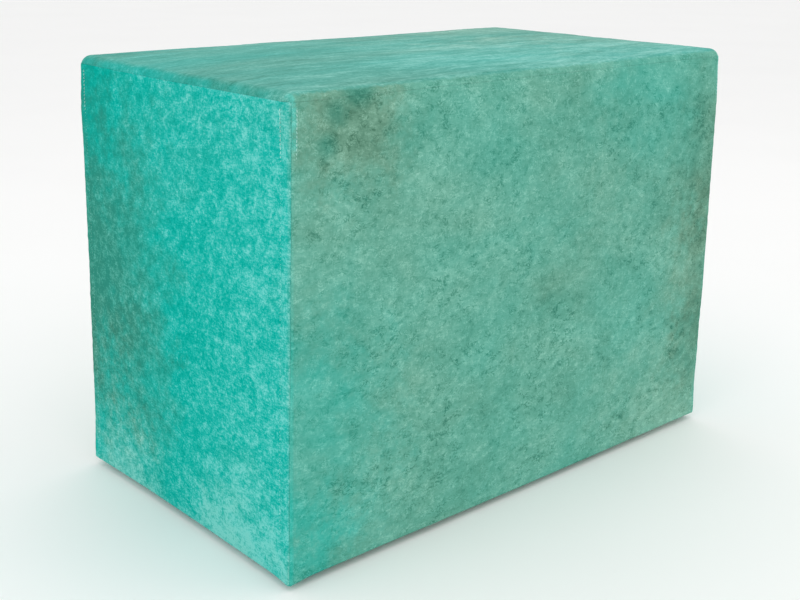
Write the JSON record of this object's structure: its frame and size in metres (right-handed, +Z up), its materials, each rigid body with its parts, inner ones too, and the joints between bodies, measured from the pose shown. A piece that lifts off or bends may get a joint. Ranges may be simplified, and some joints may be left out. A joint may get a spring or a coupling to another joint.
{
  "type": "upholstered mounting block",
  "caption": "Rectangular block to step up on or sit on: a screwed wooden carcass, padded with foam and covered in sewn pile cloth, on low rubber feet.",
  "frame": {"origin": "on the floor, under the middle of the block", "axes": "+X along the block's length, +Y to its back, +Z up"},
  "size_m": [0.7, 0.4, 0.508],
  "materials": {
    "cover_cloth": "mottled pile cloth",
    "foam": "open-cell upholstery foam",
    "plywood": "sanded birch plywood",
    "pine": "planed softwood",
    "nonwoven": "thin black non-woven cloth",
    "foot_rubber": "moulded black rubber",
    "zinc_steel": "bright zinc plate"
  },
  "bodies": {
    "root": {"back_pad": "foam", "back_panel": "plywood", "back_panel_screws": "zinc_steel", "base_rail_back": "pine", "base_rail_front": "pine", "base_rail_left": "pine", "base_rail_right": "pine", "centre_rib": "plywood", "cloth_staples": "zinc_steel", "corner_post_back_left": "pine", "corner_post_back_right": "pine", "corner_post_front_left": "pine", "corner_post_front_right": "pine", "cover_back": "cover_cloth", "cover_front": "cover_cloth", "cover_left": "cover_cloth", "cover_right": "cover_cloth", "cover_staples": "zinc_steel", "cover_top": "cover_cloth", "foot_back_left": "foot_rubber", "foot_back_right": "foot_rubber", "foot_front_left": "foot_rubber", "foot_front_right": "foot_rubber", "foot_screws": "zinc_steel", "foot_washers": "zinc_steel", "front_pad": "foam", "front_panel": "plywood", "front_panel_screws": "zinc_steel", "left_end_panel": "plywood", "left_end_screws": "zinc_steel", "left_pad": "foam", "right_end_panel": "plywood", "right_end_screws": "zinc_steel", "right_pad": "foam", "top_board": "plywood", "top_board_screws": "zinc_steel", "top_pad": "foam", "underside_cloth": "nonwoven"}
  },
  "joints": []
}
